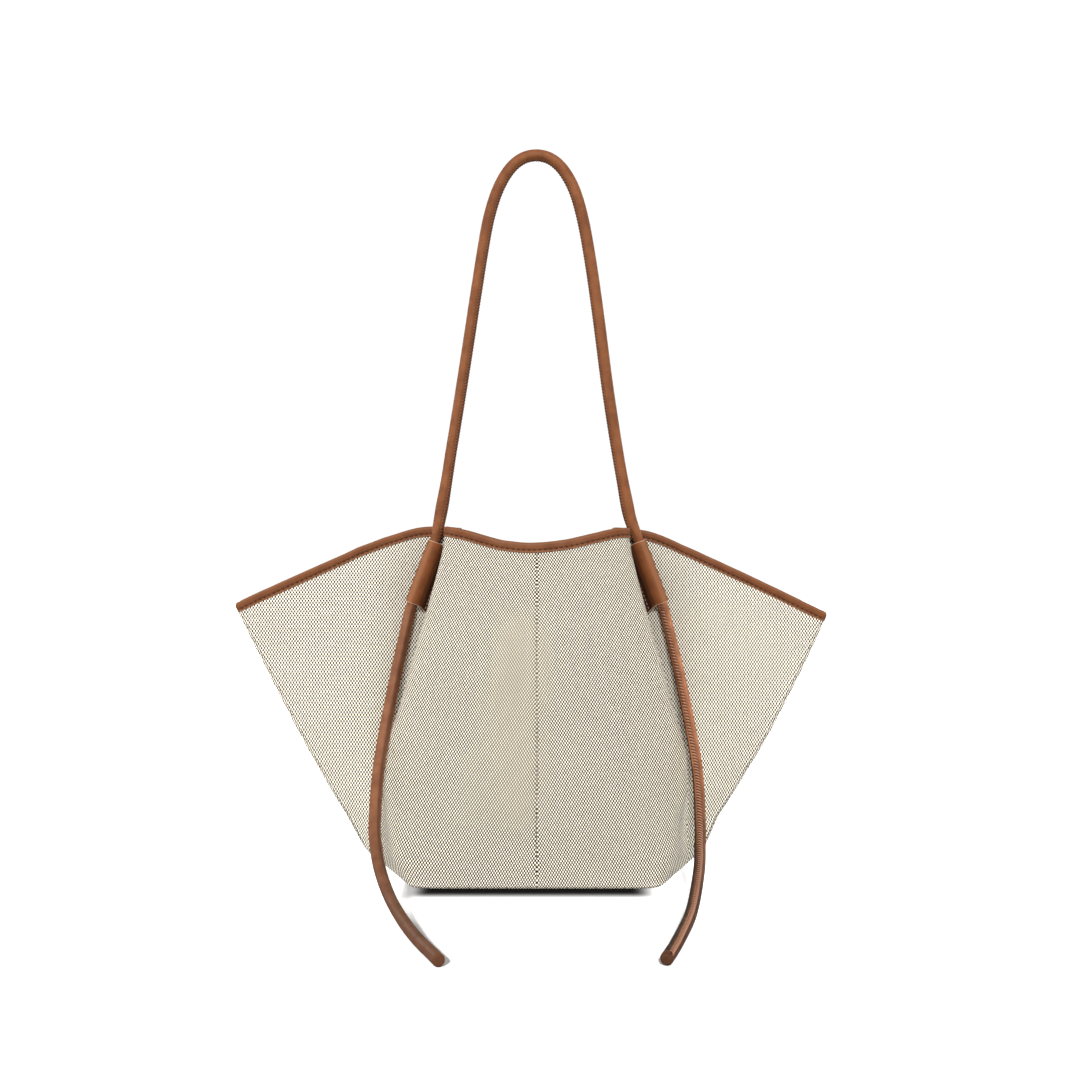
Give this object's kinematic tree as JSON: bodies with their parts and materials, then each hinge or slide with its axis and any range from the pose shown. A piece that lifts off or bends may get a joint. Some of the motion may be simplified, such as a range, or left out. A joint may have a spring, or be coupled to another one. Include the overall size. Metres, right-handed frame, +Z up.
{
  "type": "tote bag",
  "caption": "Upright winged canvas tote bag with leather-bound rim and one rolled leather shoulder strap that runs down through two sewn tunnels into free tails.",
  "frame": {"origin": "middle of the flat base, on the ground", "axes": "+X to the viewer's right along the bag's width, -Y towards the front, +Z up"},
  "size_m": [0.511, 0.3429, 0.6253],
  "materials": {
    "canvas": "cream canvas with a small dark dot weave",
    "leather": "smooth cognac leather",
    "board": "matte stiffening board",
    "cord": "twisted cotton cord"
  },
  "bodies": {
    "bag": {"canvas_front_left": "canvas", "canvas_front_right": "canvas", "canvas_rear_left": "canvas", "canvas_rear_right": "canvas", "canvas_base": "canvas", "base_board": "board", "binding_front": "leather", "binding_rear": "leather", "strap_tunnel_left": "leather", "strap_tunnel_right": "leather", "strap_stub_left": "leather", "strap_stub_left_core": "cord", "strap_stub_right": "leather", "strap_stub_right_core": "cord"},
    "strap_arch": {"strap_arch": "leather", "strap_arch_core": "cord"},
    "tail_left": {"strap_tail_left": "leather", "strap_tail_left_core": "cord"},
    "tail_right": {"strap_tail_right": "leather", "strap_tail_right_core": "cord"}
  },
  "joints": [
    {"name": "strap_fold", "type": "hinge", "parent": "bag", "child": "strap_arch", "pos_m": [0, -0.01205, 0.3081], "axis": [1, 0, 0], "range_deg": [-90, 90]},
    {"name": "tail_left_swing", "type": "hinge", "parent": "bag", "child": "tail_left", "pos_m": [-0.10915, -0.01205, 0.22992], "axis": [-1, 0, 0], "range_deg": [0, 75]},
    {"name": "tail_right_swing", "type": "hinge", "parent": "bag", "child": "tail_right", "pos_m": [0.10915, -0.01205, 0.22992], "axis": [-1, 0, 0], "range_deg": [0, 75]}
  ]
}
